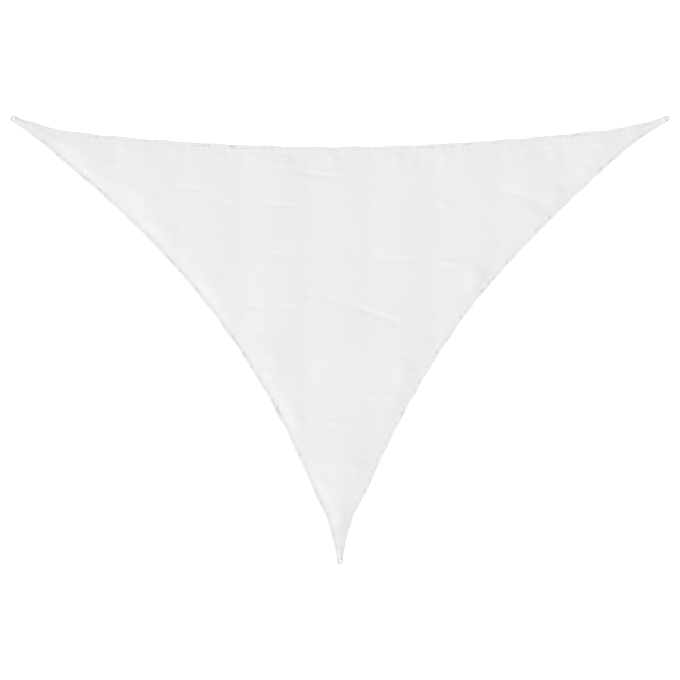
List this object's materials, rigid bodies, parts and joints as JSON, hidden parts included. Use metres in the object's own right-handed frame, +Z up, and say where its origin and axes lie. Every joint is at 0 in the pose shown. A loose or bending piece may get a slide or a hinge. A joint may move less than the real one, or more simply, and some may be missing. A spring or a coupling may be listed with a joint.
{
  "type": "shade sail",
  "caption": "Triangular shade sail of white coated cloth with hollow-cut hemmed edges, laid out flat, a steel D-ring in a webbing loop at each corner.",
  "frame": {"origin": "on the floor under the middle of the box round the sail and its rings", "axes": "+X along the long edge, +Y towards the long edge, -Y towards the far corner, +Z up from the floor, out of the cloth's face"},
  "size_m": [5.9996, 4.0776, 0.0142],
  "materials": {
    "cloth": "white coated polyester cloth, matt with a faint sheen",
    "webbing": "white woven polyester webbing",
    "steel": "polished stainless steel wire"
  },
  "bodies": {
    "root": {"sail_cloth": "cloth", "loop_left": "webbing", "loop_right": "webbing", "loop_bottom": "webbing", "ring_left": "steel", "ring_right": "steel", "ring_bottom": "steel"}
  },
  "joints": []
}
